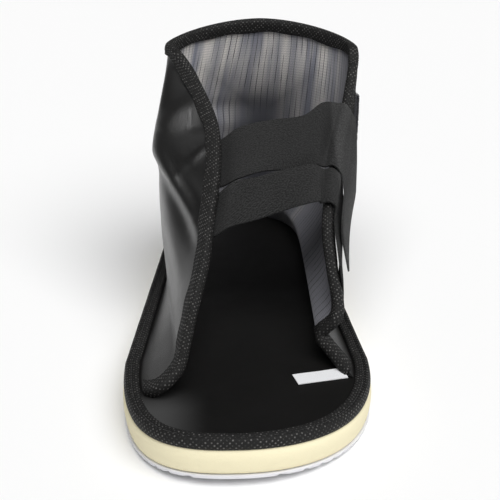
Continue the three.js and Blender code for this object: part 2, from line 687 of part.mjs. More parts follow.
// The label lies on the footbed.
const labelMesh = group.getObjectByName('label');
labelMesh.position.set(LABEL_PLACE.x * BALL_WIDTH, LABEL_PLACE.y * SOLE_LENGTH,
  UPPER_BASE + LABEL_THICKNESS / 2);
labelMesh.rotation.z = LABEL_PLACE.turn;

// The origin is at the bottom centre of the whole shoe.
const box = new THREE.Box3().setFromObject(group, true);
group.position.set(-(box.min.x + box.max.x) / 2, -(box.min.y + box.max.y) / 2, -box.min.z);
group.updateMatrixWorld(true);

export default group;
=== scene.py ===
"""Looks of an open-toed cast shoe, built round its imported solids.

Shapes are worked out in millimetres in the shoe's own frame, toe towards -Y and +Z up, by the
formulas of the solids, and become metres in the frame's place when a mesh is made. They leave the
solids at the creases, at both straps' edges, most of all at the flap, at the edge tape's width and
feet, and at one end of the label.
"""

import math

import bpy
import numpy as np
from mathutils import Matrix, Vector


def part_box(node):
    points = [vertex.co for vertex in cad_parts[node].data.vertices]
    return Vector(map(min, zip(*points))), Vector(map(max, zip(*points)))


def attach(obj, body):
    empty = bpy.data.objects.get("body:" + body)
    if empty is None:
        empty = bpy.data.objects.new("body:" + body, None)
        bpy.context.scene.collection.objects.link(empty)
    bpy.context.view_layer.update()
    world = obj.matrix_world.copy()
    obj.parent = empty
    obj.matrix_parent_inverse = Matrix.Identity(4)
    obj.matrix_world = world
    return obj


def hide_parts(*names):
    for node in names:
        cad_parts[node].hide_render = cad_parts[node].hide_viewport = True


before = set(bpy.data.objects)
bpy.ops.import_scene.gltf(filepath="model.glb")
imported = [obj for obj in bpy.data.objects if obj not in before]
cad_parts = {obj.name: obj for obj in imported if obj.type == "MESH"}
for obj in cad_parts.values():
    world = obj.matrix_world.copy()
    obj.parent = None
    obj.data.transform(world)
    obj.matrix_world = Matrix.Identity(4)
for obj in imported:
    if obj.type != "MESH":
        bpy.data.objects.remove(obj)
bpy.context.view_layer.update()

# Sizes of the shoe, in millimetres
SOLE_LENGTH = 290.0
BALL_WIDTH = 115.0
HEEL_WIDTH = 90.0
OUTSOLE_BASE = 0.8
LUG_DEPTH = 0.8
LUG_PITCH = 4.8
LUG_GROOVE = 1.6
MIDSOLE_THICKNESS = 11.2
MIDSOLE_SIDE_BULGE = 1.2
FOOTBED_THICKNESS = 3.0
TOE_SPRING = 4.0
HEEL_BEVEL = 1.2
UPPER_HEIGHT = 124.0
UPPER_WALL = 1.8
LEFT_FRONT_BOW = 7.0
TAPE_THICKNESS = 1.1
TAPE_WIDTH = 7.0
TAPE_EASE = 0.36
EDGE_EASE = 0.8
SEAM_TAPE_WIDTH = 7.0
SEAM_ROLL_RISE = 0.7
STRAP_THICKNESS = 1.5
FLAP_LIFT = 1.6
PAD_THICKNESS = 1.8
LABEL_LENGTH = 19.0
LABEL_WIDTH = 9.5
LABEL_THICKNESS = 0.5
CLEARANCE = 0.3
TAPE_DOT_PITCH = 2.4

# Outline of the sole
TOE_ARC = SOLE_LENGTH * 0.276
HEEL_ARC = SOLE_LENGTH * 0.2
BALL_SHIFT = -BALL_WIDTH * 0.006
TOE_SKEW = BALL_WIDTH * 0.07
TOE_SKEW_POWER = 2.4
TOE_ROUNDNESS = 2.3
HEEL_ROUNDNESS = 2.25
TOE_Y = -SOLE_LENGTH / 2
HEEL_Y = SOLE_LENGTH / 2
BALL_Y = TOE_Y + TOE_ARC
HEEL_ARC_Y = HEEL_Y - HEEL_ARC
SPRING_START_Y = BALL_Y - TOE_ARC * 0.42
BEVEL_START_Y = HEEL_Y - HEEL_ARC * 0.35

# Heights of the layers
MIDSOLE_Z = OUTSOLE_BASE + LUG_DEPTH + CLEARANCE
FOOTBED_Z = MIDSOLE_Z + MIDSOLE_THICKNESS + CLEARANCE
FOOTBED_TOP = FOOTBED_Z + FOOTBED_THICKNESS
UPPER_BASE = FOOTBED_TOP + CLEARANCE
SEAM_INSET = SEAM_TAPE_WIDTH + CLEARANCE * 3

# Sections of the upper. x is a share of the ball width, y of the sole length.
SECTION_NAMES = (
    "level", "left_front_x", "left_front_y", "left_x", "left_y", "left_belly",
    "right_front_x", "right_front_y", "right_x", "right_y", "right_belly", "back_y", "roundness")
SECTION_ROWS = np.array([
    (0.10, -0.278, -0.316, -0.373, 0.214, -0.010, 0.298, -0.212, 0.303, 0.214, 0.004, 0.478, 2.3),
    (0.20, -0.232, -0.203, -0.390, 0.214, 0.004, 0.377, -0.209, 0.377, 0.214, -0.012, 0.483, 2.3),
    (0.32, -0.183, -0.117, -0.395, 0.214, 0.022, 0.367, -0.141, 0.438, 0.214, 0.006, 0.486, 2.2),
    (0.45, -0.154, -0.030, -0.399, 0.214, 0.030, 0.359, -0.067, 0.488, 0.214, 0.010, 0.489, 2.2),
    (0.60, -0.120, 0.065, -0.418, 0.217, 0.045, 0.397, 0.031, 0.524, 0.217, 0.012, 0.491, 2.1),
    (0.75, -0.127, 0.164, -0.393, 0.262, 0.040, 0.478, 0.173, 0.546, 0.248, 0.006, 0.491, 2.0),
    (0.90, -0.222, 0.271, -0.362, 0.335, 0.006, 0.534, 0.254, 0.566, 0.315, 0.003, 0.487, 1.9),
    (1.00, -0.316, 0.320, -0.350, 0.368, 0.008, 0.563, 0.293, 0.575, 0.350, 0.001, 0.483, 1.8),
])
SECTIONS = dict(zip(SECTION_NAMES, SECTION_ROWS.T))
KNEE_LEVEL = SECTIONS["level"][0]

# Height of the collar round its rim, as shares of the upper's height
RIM_ALONG = np.array([0.0, 0.3, 0.5, 0.7, 1.0])
RIM_HEIGHT = np.array([0.915, 0.928, 0.985, 0.920, 0.865])

LEFT_SEAM_FRONT = -0.320
RIGHT_SEAM_FRONT = -0.285
SIDE_SHARE = 0.3
FRONT_HANDLE = 0.33
WIDEST_HANDLE = 0.6
WIDEST_BELLY = 0.4
PROBE = 0.012
TAPE_REACH = 0.7

# Where the label lies, as shares of ball width and sole length, and how much longer it is than its solid
LABEL_PLACE = (0.262, -0.283)
LABEL_TURN = 0.24
LABEL_TUCK = 5.0

# The frame's x is the shoe's x moved by this much, read from where the label lies in the frame.
label_low, label_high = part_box("label")
SHIFT_X = (label_low[0] + label_high[0]) / 2 * 1000 - LABEL_PLACE[0] * BALL_WIDTH


def mix(a, b, t):
    return a + (b - a) * t


def unit(vectors):
    return vectors / np.maximum(np.linalg.norm(vectors, axis=-1, keepdims=True), 1e-9)


def smooth_step(low, high, value):
    t = np.clip((value - low) / (high - low), 0, 1)
    return t * t * (3 - 2 * t)


def stack(x, y, z):
    return np.stack(np.broadcast_arrays(x, y, z), axis=-1).astype(float)


# Outline of the sole

def round_share(share, power):
    return (1 - np.clip(share, 0, 1) ** power) ** (1 / power)


def outline_at(y, inset):
    """Centre and half width of the sole at y, pulled in by inset."""
    half = BALL_WIDTH / 2 - inset
    heel_half = HEEL_WIDTH / 2 - inset
    toe_reach = np.clip((BALL_Y - y) / (TOE_ARC - inset), 0, 1)
    heel_reach = np.clip((y - HEEL_ARC_Y) / (HEEL_ARC - inset), 0, 1)
    taper = np.clip((y - BALL_Y) / (HEEL_ARC_Y - BALL_Y), 0, 1)
    centre = mix(BALL_SHIFT, 0, taper) - TOE_SKEW * toe_reach ** TOE_SKEW_POWER
    width = mix(half, heel_half, taper)
    width = width * round_share(toe_reach, TOE_ROUNDNESS) * round_share(heel_reach, HEEL_ROUNDNESS)
    return centre, width


def spring_at(y):
    reach = np.maximum(0, SPRING_START_Y - y) / (SPRING_START_Y - TOE_Y)
    return TOE_SPRING * reach * reach


def bevel_at(y):
    reach = np.maximum(0, y - BEVEL_START_Y) / (HEEL_Y - BEVEL_START_Y)
    return HEEL_BEVEL * reach * reach


def sole_stations(toe_steps, side_steps, heel_steps):
    """Pairs of part and share along the sole, dense where the outline turns."""
    toe = [("toe", math.sin(math.pi / 2 * (1 - i / toe_steps))) for i in range(toe_steps)]
    side = [("side", i / side_steps) for i in range(side_steps)]
    heel = [("heel", math.sin(math.pi / 2 * i / heel_steps)) for i in range(heel_steps + 1)]
    return toe + side + heel


def station_y(station, inset):
    part, share = station
    if part == "toe":
        return BALL_Y - (TOE_ARC - inset) * share
    if part == "side":
        return mix(BALL_Y, HEEL_ARC_Y, share)
    return HEEL_ARC_Y + (HEEL_ARC - inset) * share


# Wall of the upper: along runs from the left front edge round the heel, level from seam to collar.

def column_at(name, level):
    """A column of the section table at a level, on a smooth curve through its rows."""
    rows = SECTIONS[name]
    levels = SECTIONS["level"]
    level = np.maximum(level, KNEE_LEVEL)
    last = len(levels) - 1
    k = np.clip(np.searchsorted(levels, level, side="left") - 1, 0, last - 1)
    before = np.clip(np.arange(last + 1) - 1, 0, last)
    after = np.clip(np.arange(last + 1) + 1, 0, last)
    slopes = (rows[after] - rows[before]) / (levels[after] - levels[before])
    span = levels[k + 1] - levels[k]
    t = (level - levels[k]) / span
    t2 = t * t
    t3 = t2 * t
    return ((2 * t3 - 3 * t2 + 1) * rows[k] + (t3 - 2 * t2 + t) * span * slopes[k]
            + (3 * t2 - 2 * t3) * rows[k + 1] + (t3 - t2) * span * slopes[k + 1])


def rim_height(along):
    k = np.clip(np.searchsorted(RIM_ALONG, along, side="left") - 1, 0, len(RIM_ALONG) - 2)
    t = (along - RIM_ALONG[k]) / (RIM_ALONG[k + 1] - RIM_ALONG[k])
    smooth = (1 - np.cos(np.pi * t)) / 2
    return UPPER_HEIGHT * mix(RIM_HEIGHT[k], RIM_HEIGHT[k + 1], smooth)


def side_curve(front, widest, belly, t):
    """Point of one side between its front end and its widest place, on a cubic curve."""
    outwards = np.sign(widest[0]) * belly
    first = (mix(front[0], widest[0], FRONT_HANDLE) + outwards, mix(front[1], widest[1], FRONT_HANDLE))
    second = (widest[0] + outwards * WIDEST_BELLY, mix(front[1], widest[1], WIDEST_HANDLE))
    s = 1 - t
    return [s ** 3 * front[i] + 3 * s * s * t * first[i] + 3 * s * t * t * second[i] + t ** 3 * widest[i]
            for i in (0, 1)]


def section_at(along, level):
    """Plan position of the upper's outer face."""
    def x(name):
        return column_at(name, level) * BALL_WIDTH

    def y(name):
        return column_at(name, level) * SOLE_LENGTH

    left_x, left_y = x("left_x"), y("left_y")
    right_x, right_y = x("right_x"), y("right_y")
    left = side_curve((x("left_front_x"), y("left_front_y")), (left_x, left_y),
                      x("left_belly"), np.clip(along / SIDE_SHARE, 0, 1))
    right = side_curve((x("right_front_x"), y("right_front_y")), (right_x, right_y),
                       x("right_belly"), np.clip((1 - along) / SIDE_SHARE, 0, 1))
    turn = np.pi * np.clip((along - SIDE_SHARE) / (1 - 2 * SIDE_SHARE), 0, 1)
    power = 2 / column_at("roundness", level)
    swing = np.cos(turn)
    depth = np.abs(np.sin(turn)) ** power
    start = np.where(swing > 0, left_y, right_y)
    side_y = mix(start, (left_y + right_y) / 2, np.sin(turn))
    back_x = (left_x + right_x) / 2 - (right_x - left_x) / 2 * np.sign(swing) * np.abs(swing) ** power
    back_y = mix(side_y, y("back_y"), depth)
    on_left = along < SIDE_SHARE
    on_right = along > 1 - SIDE_SHARE
    return (np.where(on_left, left[0], np.where(on_right, right[0], back_x)),
            np.where(on_left, left[1], np.where(on_right, right[1], back_y)))


def seam_at(along):
    """Plan position of the upper's seam, inside the tape round the footbed."""
    on_left = along < SIDE_SHARE
    on_side = on_left | (along > 1 - SIDE_SHARE)
    t = np.clip(np.where(on_left, along, 1 - along) / SIDE_SHARE, 0, 1)
    front = np.where(on_left, LEFT_SEAM_FRONT, RIGHT_SEAM_FRONT) * SOLE_LENGTH
    side_y = mix(front, HEEL_ARC_Y, t)
    centre, width = outline_at(side_y, SEAM_INSET)
    side_x = centre + np.where(on_left, -width, width)
    turn = np.pi * np.clip((along - SIDE_SHARE) / (1 - 2 * SIDE_SHARE), 0, 1)
    power = 2 / HEEL_ROUNDNESS
    swing = np.cos(turn)
    back_x = -(HEEL_WIDTH / 2 - SEAM_INSET) * np.sign(swing) * np.abs(swing) ** power
    back_y = HEEL_ARC_Y + (HEEL_ARC - SEAM_INSET) * np.abs(np.sin(turn)) ** power
    return np.where(on_side, side_x, back_x), np.where(on_side, side_y, back_y)


def wall_point(along, level):
    """Outer face of the upper. Below the knee it runs straight, bowed to the toe at the left front."""
    along, level = np.broadcast_arrays(np.asarray(along, float), np.asarray(level, float))
    plan_x, plan_y = section_at(along, level)
    seam_x, seam_y = seam_at(along)
    t = np.clip(level / KNEE_LEVEL, 0, 1)
    z = UPPER_BASE + level * (rim_height(along) - UPPER_BASE + FOOTBED_TOP)
    bow = LEFT_FRONT_BOW * 4 * t * (1 - t) * np.maximum(0, 1 - along / SIDE_SHARE) ** 2
    return stack(mix(seam_x, plan_x, t), mix(seam_y, plan_y, t) - bow, z)


def wall_normal(along, level):
    along, level = np.broadcast_arrays(np.asarray(along, float), np.asarray(level, float))
    across = (wall_point(np.minimum(1, along + PROBE), level)
              - wall_point(np.maximum(0, along - PROBE), level))
    up = (wall_point(along, np.minimum(1, level + PROBE))
          - wall_point(along, np.maximum(0, level - PROBE)))
    return unit(np.cross(up, across))


def beside(along, level, offset):
    """Point beside the upper: offset 0 is its outer face, positive is outwards."""
    offset = np.asarray(offset, float)[..., None]
    return wall_point(along, level) + wall_normal(along, level) * offset


# Meshes

def in_frame(points):
    """Millimetres in the shoe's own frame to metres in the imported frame."""
    return (np.asarray(points, float) + np.array([SHIFT_X, 0.0, 0.0])) / 1000


def place_object(name, data):
    piece = bpy.data.objects.new(name, data)
    bpy.context.scene.collection.objects.link(piece)
    return piece


def mesh_piece(name, points, faces, uvs=None, materials=(), face_material=None, sharp=40):
    """A smooth-shaded mesh object. uvs holds one (u, v) in millimetres for each corner of each face."""
    mesh = bpy.data.meshes.new(name)
    mesh.from_pydata(in_frame(points).tolist(), [], [list(face) for face in faces])
    if uvs is not None:
        layer = mesh.uv_layers.new(name="weave")
        layer.data.foreach_set("uv", np.asarray(uvs, float).reshape(-1))
    for material in materials:
        mesh.materials.append(material)
    if face_material is not None:
        mesh.polygons.foreach_set("material_index", face_material)
    mesh.validate()
    mesh.shade_smooth()
    mesh.set_sharp_from_angle(angle=math.radians(sharp))
    return place_object(name, mesh)


def run_lengths(points):
    steps = np.linalg.norm(np.diff(points, axis=0), axis=-1)
    return np.concatenate([[0], np.cumsum(steps)])


def ring_shell(name, rings, material, loop=False, sharp=40):
    """Closed skin through rings of equal length, capped at both ends unless it is a loop."""
    rings = np.asarray(rings, float)
    count, around = rings.shape[:2]
    closed = np.concatenate([rings, rings[:1]]) if loop else rings
    u = run_lengths(closed.mean(axis=1))
    if loop:
        u *= round(u[-1] / TAPE_DOT_PITCH) * TAPE_DOT_PITCH / u[-1]
    longest = rings[count // 2]
    v = run_lengths(np.concatenate([longest, longest[:1]]))
    faces = []
    uvs = []
    for i in range(count if loop else count - 1):
        j = (i + 1) % count
        for k in range(around):
            n = (k + 1) % around
            faces.append((i * around + k, i * around + n, j * around + n, j * around + k))
            uvs.append(((u[i], v[k]), (u[i], v[k + 1]), (u[i + 1], v[k + 1]), (u[i + 1], v[k])))
    if not loop:
        for base, flip, end in ((0, True, u[0]), ((count - 1) * around, False, u[-1])):
            for k in range(around // 2 - 1):
                face = [base + k, base + k + 1, base + around - 2 - k, base + around - 1 - k]
                faces.append(tuple(reversed(face)) if flip else tuple(face))
                uvs.append(((end, v[k]),) * 4)
    points = rings.reshape(-1, 3)
    volume = 0.0
    for face in faces:
        a, b, c, d = (points[index] for index in face)
        volume += np.dot(a, np.cross(b, c)) + np.dot(a, np.cross(c, d))
    if volume < 0:
        faces = [tuple(reversed(face)) for face in faces]
        uvs = [tuple(reversed(corner)) for corner in uvs]
    return mesh_piece(name, points, faces, uvs, [material], sharp=sharp)


def tubes(name, paths, radius, material, sides=5):
    """Many short tubes with pinched ends in one mesh. paths is an array of paths of equal length."""
    paths = np.asarray(paths, float)
    amount, steps = paths.shape[:2]
    run = unit(np.gradient(paths, axis=1))
    helper = np.where(np.abs(run[..., 2:3]) > 0.8, [1.0, 0.0, 0.0], [0.0, 0.0, 1.0])
    side = unit(np.cross(run, helper))
    other = np.cross(run, side)
    turn = np.arange(sides) * 2 * np.pi / sides
    pinch = np.ones(steps)
    pinch[0] = pinch[-1] = 0.45
    radius = np.broadcast_to(np.asarray(radius, float), (amount,))
    size = radius[:, None, None, None] * pinch[None, :, None, None]
    circle = (side[:, :, None] * np.cos(turn)[None, None, :, None]
              + other[:, :, None] * np.sin(turn)[None, None, :, None])
    points = (paths[:, :, None] + circle * size).reshape(-1, 3)
    faces = []
    for item in range(amount):
        base = item * steps * sides
        for i in range(steps - 1):
            for k in range(sides):
                n = (k + 1) % sides
                a = base + i * sides
                b = a + sides
                faces.append((a + k, b + k, b + n, a + n))
        faces.append(tuple(base + k for k in range(sides)))
        faces.append(tuple(base + (steps - 1) * sides + k for k in reversed(range(sides))))
    return mesh_piece(name, points, faces, materials=[material], sharp=80)


# Materials

class Shader:
    """A material's node tree, built by calls that return sockets."""

    def __init__(self, name, **constants):
        self.material = bpy.data.materials.new(name)
        self.material.use_nodes = True
        self.nodes = self.material.node_tree.nodes
        self.links = self.material.node_tree.links
        self.surface = self.nodes["Principled BSDF"]
        for key, value in constants.items():
            self.set(key.replace("_", " "), value)

    def put(self, socket, value):
        if isinstance(value, bpy.types.NodeSocket):
            self.links.new(value, socket)
        else:
            socket.default_value = value

    def set(self, name, value):
        self.put(self.surface.inputs[name], value)

    def node(self, kind, inputs=(), output=0, **settings):
        node = self.nodes.new(kind)
        for key, value in settings.items():
            setattr(node, key, value)
        for key, value in dict(inputs).items():
            self.put(node.inputs[key], value)
        return node.outputs[output]

    def math(self, operation, a, b=0.0):
        return self.node("ShaderNodeMath", {0: a, 1: b}, operation=operation)

    def plus(self, a, b):
        return self.math("ADD", a, b)

    def times(self, a, b):
        return self.math("MULTIPLY", a, b)

    def uv(self):
        """u and v in millimetres, along and across the piece."""
        return self.axes(self.node("ShaderNodeUVMap", uv_map="weave"))[:2]

    def axes(self, vector):
        split = self.nodes.new("ShaderNodeSeparateXYZ")
        self.links.new(vector, split.inputs[0])
        return split.outputs[0], split.outputs[1], split.outputs[2]

    def millimetres(self):
        """Position on the shoe in millimetres."""
        place = self.node("ShaderNodeTexCoord", output="Object")
        return self.node("ShaderNodeVectorMath", {0: place, 3: 1000.0}, operation="SCALE")

    def vector(self, x, y, z=0.0):
        return self.node("ShaderNodeCombineXYZ", {0: x, 1: y, 2: z})

    def noise(self, place, scale, detail=2.0, roughness=0.5):
        return self.node("ShaderNodeTexNoise", {
            "Vector": place, "Scale": scale, "Detail": detail, "Roughness": roughness})

    def cells(self, place, scale):
        return self.node("ShaderNodeTexVoronoi", {"Vector": place, "Scale": scale})

    def wave(self, value, pitch):
        """Cosine of value with that pitch, from -1 to 1."""
        return self.math("COSINE", self.times(value, 2 * math.pi / pitch))

    def between(self, value, low, high, to_low=0.0, to_high=1.0):
        return self.node("ShaderNodeMapRange", {
            "Value": value, "From Min": low, "From Max": high, "To Min": to_low, "To Max": to_high},
            interpolation_type="SMOOTHSTEP")

    def colour(self, share, first, second):
        node = self.nodes.new("ShaderNodeMix")
        node.data_type = "RGBA"
        self.put(node.inputs["Factor"], share)
        self.put(node.inputs[6], first)
        self.put(node.inputs[7], second)
        return node.outputs[2]

    def bump(self, height, depth_mm, strength=1.0):
        """Relief of a height from 0 to 1 that is depth_mm deep."""
        inputs = {"Height": height, "Distance": depth_mm / 1000, "Strength": strength}
        self.set("Normal", self.node("ShaderNodeBump", inputs))


def grey(value, warm=0.0):
    return (value * (1 + warm), value, value * (1 - warm), 1.0)


def foam_material():
    shader = Shader("foam", Roughness=0.82, Specular_IOR_Level=0.3)
    place = shader.millimetres()
    pores = shader.cells(place, 1.9)
    cloud = shader.noise(place, 0.05, 3.0)
    shade = shader.plus(shader.between(pores, 0.05, 0.3), shader.times(cloud, 0.4))
    shader.set("Base Color", shader.colour(shade, (0.80, 0.72, 0.47, 1), (0.88, 0.81, 0.57, 1)))
    grain = shader.plus(pores, shader.noise(place, 3.5, 3.0))
    shader.bump(grain, 0.12, 0.5)
    return shader.material


def tread_material():
    shader = Shader("tread", Roughness=0.75, Specular_IOR_Level=0.3)
    place = shader.millimetres()
    cloud = shader.noise(place, 0.08, 3.0)
    shader.set("Base Color", shader.colour(cloud, (0.70, 0.70, 0.73, 1), (0.83, 0.83, 0.86, 1)))
    shader.bump(shader.noise(place, 2.6, 3.0), 0.12, 0.5)
    return shader.material


# A painted sheen on the footbed at the left of the toe: where it starts and where it is full
SHEEN_X = (-22.0, -46.0)
SHEEN_Y = (-88.0, -112.0)
FOOTBED_WEAVE = 0.9


def footbed_material():
    shader = Shader("footbed_cloth", Specular_IOR_Level=0.16, Sheen_Weight=0.02, Sheen_Roughness=0.4)
    place = shader.millimetres()
    x, y, _ = shader.axes(place)
    slant = shader.wave(shader.plus(x, y), FOOTBED_WEAVE)
    weave = shader.times(slant, shader.wave(shader.math("SUBTRACT", x, y), FOOTBED_WEAVE))
    cloud = shader.noise(place, 0.03, 3.0)
    # Painted sheen: a paler patch on the cloth at the left of the toe stands in for a reflection
    painted_sheen = shader.times(shader.between(x, *SHEEN_X), shader.between(y, *SHEEN_Y))
    cloth = shader.colour(cloud, grey(0.0025, 0.05), grey(0.005, 0.05))
    shader.set("Base Color", shader.colour(painted_sheen, cloth, grey(0.055)))
    shader.set("Roughness", shader.between(cloud, 0.2, 0.8, 0.42, 0.58))
    shader.bump(shader.plus(weave, shader.noise(place, 1.5, 3.0)), 0.03, 0.5)
    return shader.material


def tape_material():
    """Black bonded tape: staggered embossed dots, some of them bright."""
    shader = Shader("bonded_tape", Specular_IOR_Level=0.4)
    u, v = shader.uv()
    place = shader.millimetres()
    stagger = shader.times(shader.wave(u, TAPE_DOT_PITCH), shader.wave(v, TAPE_DOT_PITCH))
    dots = shader.between(stagger, 0.35, 0.8)
    chance = shader.between(shader.noise(place, 0.55, 1.0), 0.42, 0.62)
    bright = shader.times(dots, chance)
    fibres = shader.noise(shader.vector(shader.times(u, 0.8), shader.times(v, 3.0)), 2.2, 4.0)
    base = shader.colour(fibres, grey(0.001, 0.06), grey(0.006, 0.06))
    shader.set("Base Color", shader.colour(bright, base, grey(0.11, 0.03)))
    shader.set("Roughness", shader.between(dots, 0.0, 1.0, 0.78, 0.42))
    relief = shader.math("SUBTRACT", shader.times(fibres, 0.7), dots)
    shader.bump(relief, 0.22, 0.9)
    return shader.material


def vinyl_material():
    """Black coated cloth with a fine grain and a faint twill under the coating."""
    shader = Shader("coated_cloth", Specular_IOR_Level=0.8, Coat_Weight=0.3, Coat_Roughness=0.3)
    place = shader.millimetres()
    u, v = shader.uv()
    grain = shader.cells(place, 1.5)
    fine = shader.noise(place, 3.2, 4.0)
    twill = shader.wave(shader.plus(u, v), 0.8)
    cloud = shader.noise(place, 0.03, 3.0)
    shader.set("Base Color", shader.colour(cloud, grey(0.004, 0.02), grey(0.008, 0.02)))
    shader.set("Roughness", shader.between(cloud, 0.2, 0.8, 0.33, 0.42))
    relief = shader.plus(grain, shader.plus(fine, shader.times(twill, 0.12)))
    shader.bump(relief, 0.1, 0.7)
    return shader.material


RIB = 4.0
# Where the chevron knit fades in and out along the upper, between the hatched sides
BACK_STARTS = (85.0, 130.0)
BACK_ENDS = (265.0, 225.0)
# The painted shade on the knit is darkest low down at this x of the frame. It fades out over these distances
# to each side and over these heights.
SHADE_CENTRE_X = 9.0
UNSHADED_ASIDE = (2.0, 46.0)
UNSHADED_HEIGHTS = (82.0, 124.0)


def lining_material():
    """Grey knit: rows of small chevrons, dark gaps between its ribs, a hatch on the sides, and painted shade
    low in the middle of the back.
    """
    shader = Shader("knit_lining", Roughness=0.72, Specular_IOR_Level=0.35, Sheen_Weight=0.15,
                    Sheen_Roughness=0.5)
    u, v = shader.uv()
    column = shader.math("FLOOR", shader.math("DIVIDE", u, RIB))
    chance = shader.node("ShaderNodeTexWhiteNoise", {"W": column}, noise_dimensions="1D")
    shifted = shader.plus(shader.times(v, 0.02), shader.times(chance, 37.0))
    lengths = shader.node("ShaderNodeTexNoise", {"W": shifted, "Scale": 1.6, "Detail": 2.0},
                          noise_dimensions="1D")
    dark_here = shader.between(lengths, 0.40, 0.54)
    gap_line = shader.times(shader.between(shader.wave(u, RIB), 0.86, 0.99), dark_here)
    fold = shader.math("ABSOLUTE", shader.wave(u, RIB / 2))
    rows = shader.wave(shader.plus(v, fold), 1.5)
    hatch = shader.wave(shader.plus(u, shader.times(v, 0.8)), 1.6)
    back = shader.times(shader.between(u, *BACK_STARTS), shader.between(u, *BACK_ENDS))
    bands = shader.noise(shader.vector(u, shader.times(v, 0.12)), 0.09, 3.0)
    light = shader.colour(shader.between(bands, 0.32, 0.66), (0.26, 0.27, 0.33, 1), (0.90, 0.86, 0.81, 1))
    light = shader.colour(shader.between(rows, -1.0, 1.0, 0.0, 0.5), light, (0.14, 0.145, 0.17, 1))
    side = shader.colour(shader.between(hatch, -1.0, 1.0, 0.0, 0.5),
                         (0.22, 0.22, 0.25, 1), (0.10, 0.102, 0.118, 1))
    both = shader.colour(back, side, light)
    # Painted shade: the knit darkens towards the straps in the middle of the back, low down
    x, _, z = shader.axes(shader.millimetres())
    aside = shader.math("ABSOLUTE", shader.math("SUBTRACT", x, SHADE_CENTRE_X))
    unshaded = shader.math("MAXIMUM", shader.between(z, *UNSHADED_HEIGHTS), shader.between(aside, *UNSHADED_ASIDE))
    # Painted shade: the back knit is mixed towards this dark colour, away from the unshaded sides and top
    both = shader.colour(shader.math("MAXIMUM", unshaded, shader.math("SUBTRACT", 1.0, back)),
                         (0.035, 0.036, 0.044, 1), both)
    shader.set("Base Color", shader.colour(gap_line, both, (0.02, 0.02, 0.026, 1)))
    knit = shader.plus(shader.times(rows, back), hatch)
    relief = shader.math("SUBTRACT", shader.times(knit, 0.3), gap_line)
    shader.bump(relief, 0.2, 0.7)
    return shader.material


# Where the straps turn round the front edge, in the frame's x
FOLD_X = (42.5, 45.5)


def webbing_material():
    """Charcoal woven elastic with a dry crepe face."""
    shader = Shader("elastic_webbing", Roughness=0.85, Specular_IOR_Level=0.2, Sheen_Weight=0.07,
                    Sheen_Roughness=0.5)
    u, v = shader.uv()
    place = shader.vector(u, v)
    ribs = shader.wave(u, 0.95)
    ends = shader.wave(v, 0.8)
    crepe = shader.between(shader.noise(place, 1.1, 3.0), 0.3, 0.7)
    weave = shader.plus(shader.times(ribs, ends), shader.times(crepe, 1.8))
    cloud = shader.noise(place, 0.06, 2.0)
    tone = shader.plus(shader.between(weave, 0.2, 2.2, 0.0, 0.8), shader.times(cloud, 0.3))
    # Painted light: past the fold the straps are coloured paler, standing in for the light that falls on
    # their outer side
    painted_light_past_fold = shader.between(shader.axes(shader.millimetres())[0], *FOLD_X)
    front = shader.colour(tone, grey(0.001), grey(0.038))
    shader.set("Base Color", shader.colour(painted_light_past_fold, front, shader.colour(tone, grey(0.018), grey(0.098))))
    shader.bump(weave, 0.35, 0.9)
    return shader.material


def pile_material():
    return Shader("loop_pile", Base_Color=(0.014, 0.014, 0.019, 1), Roughness=0.8, Sheen_Weight=0.3).material


def label_material():
    shader = Shader("label_satin", Specular_IOR_Level=0.5, Roughness=0.45)
    x, y, _ = shader.axes(shader.millimetres())
    threads = shader.times(shader.wave(x, 0.5), shader.wave(y, 0.4))
    tone = shader.between(threads, -1.0, 1.0)
    shader.set("Base Color", shader.colour(tone, (0.74, 0.75, 0.77, 1), (0.88, 0.88, 0.89, 1)))
    shader.bump(threads, 0.04, 0.6)
    return shader.material


FOAM = foam_material()
TREAD = tread_material()
FOOTBED = footbed_material()
TAPE = tape_material()
VINYL = vinyl_material()
LINING = lining_material()
WEBBING = webbing_material()
PILE = pile_material()
LABEL = label_material()
THREAD = Shader("thread", Base_Color=grey(0.02), Roughness=0.5, Sheen_Weight=0.2).material


def dress(piece, slot, *nodes):
    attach(piece, "root")
    if nodes:
        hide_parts(*nodes)
    return piece


# Sole

def layer_rings(profile, stations):
    """Rings across the sole. The profile lists (inset, z) from the bottom edge up to the top edge."""
    rings = []
    for station in stations:
        left = []
        right = []
        for inset, z in profile:
            y = station_y(station, inset)
            centre, width = outline_at(y, inset)
            height = z + spring_at(station_y(station, 0.0))
            left.append((centre - width, y, height))
            right.append((centre + width, y, height))
        rings.append(left + right[::-1])
    return rings


# Side of the foam, softly swelling with small rounded edges: pull is a share of the bulge, height of
# the thickness
MIDSOLE_PROFILE = [
    (0.95, 0.0), (0.72, 0.012), (0.55, 0.05), (0.2, 0.15), (-0.1, 0.3), (-0.33, 0.47),
    (-0.4, 0.62), (-0.3, 0.76), (-0.02, 0.88), (0.4, 0.965), (0.85, 1.0)]
LAYER_STEPS = (60, 50, 50)
SEAM_TAPE_STEPS = (110, 70, 90)


def midsole():
    profile = [(MIDSOLE_SIDE_BULGE * pull, MIDSOLE_Z + MIDSOLE_THICKNESS * height)
               for pull, height in MIDSOLE_PROFILE]
    rings = layer_rings(profile, sole_stations(*LAYER_STEPS))
    return dress(ring_shell("midsole_foam", rings, FOAM), "foam", "midsole")


